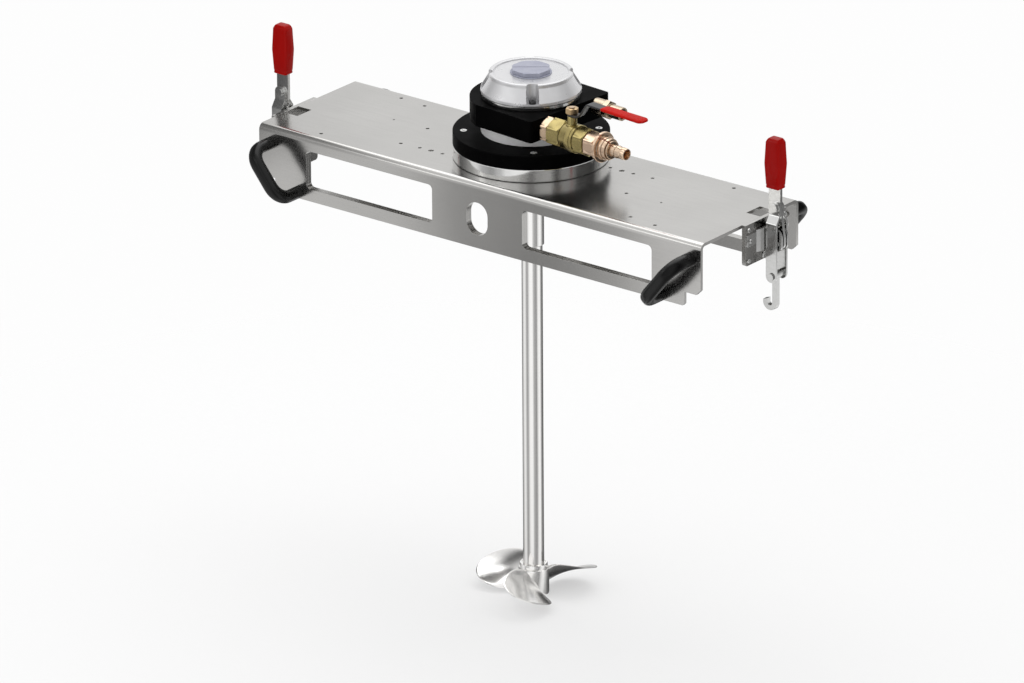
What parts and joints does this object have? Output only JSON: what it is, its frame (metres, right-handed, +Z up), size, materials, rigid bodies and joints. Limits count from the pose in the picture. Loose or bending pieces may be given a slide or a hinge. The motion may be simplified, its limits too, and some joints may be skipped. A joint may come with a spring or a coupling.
{
  "type": "pneumatic ibc agitator",
  "caption": "Air-driven propeller mixer on a stainless beam that clamps across the cage of an intermediate bulk container.",
  "frame": {"origin": "middle of the beam in plan, on the seat plane under its four raised end tabs", "axes": "+X along the beam, +Y to the rear away from the air valve, +Z up along the shaft"},
  "size_m": [1.1, 0.416, 1.019],
  "materials": {
    "stainless": "brushed",
    "polished_steel": "polished",
    "plated_steel": "zinc plated",
    "black_anodised": "black anodised",
    "cast_aluminium": "polished",
    "blue_anodised": "satin",
    "black_plastic": "moulded",
    "red_plastic": "moulded",
    "brass": "cast",
    "bronze": "machined",
    "nickel": "nickel plated",
    "black_steel": "blackened",
    "seal_rubber": "moulded",
    "vane_composite": "laminated"
  },
  "bodies": {
    "beam": {"traverse_beam": "stainless", "front_doubler": "stainless", "rear_doubler": "stainless", "handle_front_left": "black_plastic", "handle_front_right": "black_plastic", "handle_rear_left": "black_plastic", "handle_rear_right": "black_plastic", "handle_screws": "plated_steel", "left_end_plate": "stainless", "right_end_plate": "stainless", "left_clamp_base": "plated_steel", "right_clamp_base": "plated_steel", "clamp_base_pins": "plated_steel", "clamp_screws": "plated_steel", "mounting_disc": "polished_steel", "motor_flange": "black_anodised", "flange_screws": "plated_steel", "motor_neck": "polished_steel", "manifold_block": "black_anodised", "motor_ring": "polished_steel", "rear_plate": "cast_aluminium", "motor_cap": "cast_aluminium", "cap_screws": "black_steel", "filler_plug": "blue_anodised", "front_bearing": "plated_steel", "rear_bearing": "plated_steel", "shaft_seal": "seal_rubber", "inlet_nipple": "bronze", "valve_body": "brass", "hose_union": "bronze", "hose_tail": "bronze", "exhaust_bush": "nickel", "silencer": "nickel"},
    "drive": {"rotor": "plated_steel", "rotor_vanes": "vane_composite", "coupling_sleeve": "stainless", "coupling_screws": "plated_steel", "agitator_shaft": "stainless", "propeller": "stainless", "propeller_collar": "stainless"},
    "inlet_lever": {"valve_lever": "black_steel", "lever_sleeve": "red_plastic", "stem_nut": "bronze", "valve_stem": "bronze", "valve_ball": "nickel"},
    "left_lever_arm": {"left_clamp_lever": "plated_steel", "left_clamp_grip": "red_plastic", "left_lever_pin": "plated_steel"},
    "left_yoke": {"left_clamp_links": "plated_steel"},
    "left_hook": {"left_trunnion": "plated_steel", "left_clamp_hook": "plated_steel"},
    "right_lever_arm": {"right_clamp_lever": "plated_steel", "right_clamp_grip": "red_plastic", "right_lever_pin": "plated_steel"},
    "right_yoke": {"right_clamp_links": "plated_steel"},
    "right_hook": {"right_trunnion": "plated_steel", "right_clamp_hook": "plated_steel"}
  },
  "joints": [
    {"name": "drive_spin", "type": "hinge", "parent": "beam", "child": "drive", "pos_m": [-0.01, 0.028, 0.097], "axis": [0, 0, 1], "continuous": true},
    {"name": "inlet_valve_turn", "type": "hinge", "parent": "beam", "child": "inlet_lever", "pos_m": [0.14645, -0.05395, 0.1915], "axis": [0, 0, -1], "range_deg": [0, 90]},
    {"name": "left_lever_swing", "type": "hinge", "parent": "beam", "child": "left_lever_arm", "pos_m": [-0.538, -0.0365, 0.055], "axis": [0, -1, 0], "range_deg": [0, 105]},
    {"name": "left_yoke_hang", "type": "hinge", "parent": "left_lever_arm", "child": "left_yoke", "pos_m": [-0.532, -0.0365, 0.121], "axis": [0, -1, 0], "range_deg": [-106, 1]},
    {"name": "left_hook_swing", "type": "hinge", "parent": "left_yoke", "child": "left_hook", "pos_m": [-0.5325, -0.0365, -0.006], "axis": [0, -1, 0], "range_deg": [-12, 12]},
    {"name": "right_lever_swing", "type": "hinge", "parent": "beam", "child": "right_lever_arm", "pos_m": [0.538, 0.0365, 0.055], "axis": [0, 1, 0], "range_deg": [0, 105]},
    {"name": "right_yoke_hang", "type": "hinge", "parent": "right_lever_arm", "child": "right_yoke", "pos_m": [0.532, 0.0365, 0.121], "axis": [0, 1, 0], "range_deg": [-106, 1]},
    {"name": "right_hook_swing", "type": "hinge", "parent": "right_yoke", "child": "right_hook", "pos_m": [0.5325, 0.0365, -0.006], "axis": [0, 1, 0], "range_deg": [-12, 12]}
  ],
  "couplings": [
    {"joint": "left_yoke_hang", "follows": "left_lever_swing", "ratio": -1},
    {"joint": "right_yoke_hang", "follows": "right_lever_swing", "ratio": -1}
  ]
}
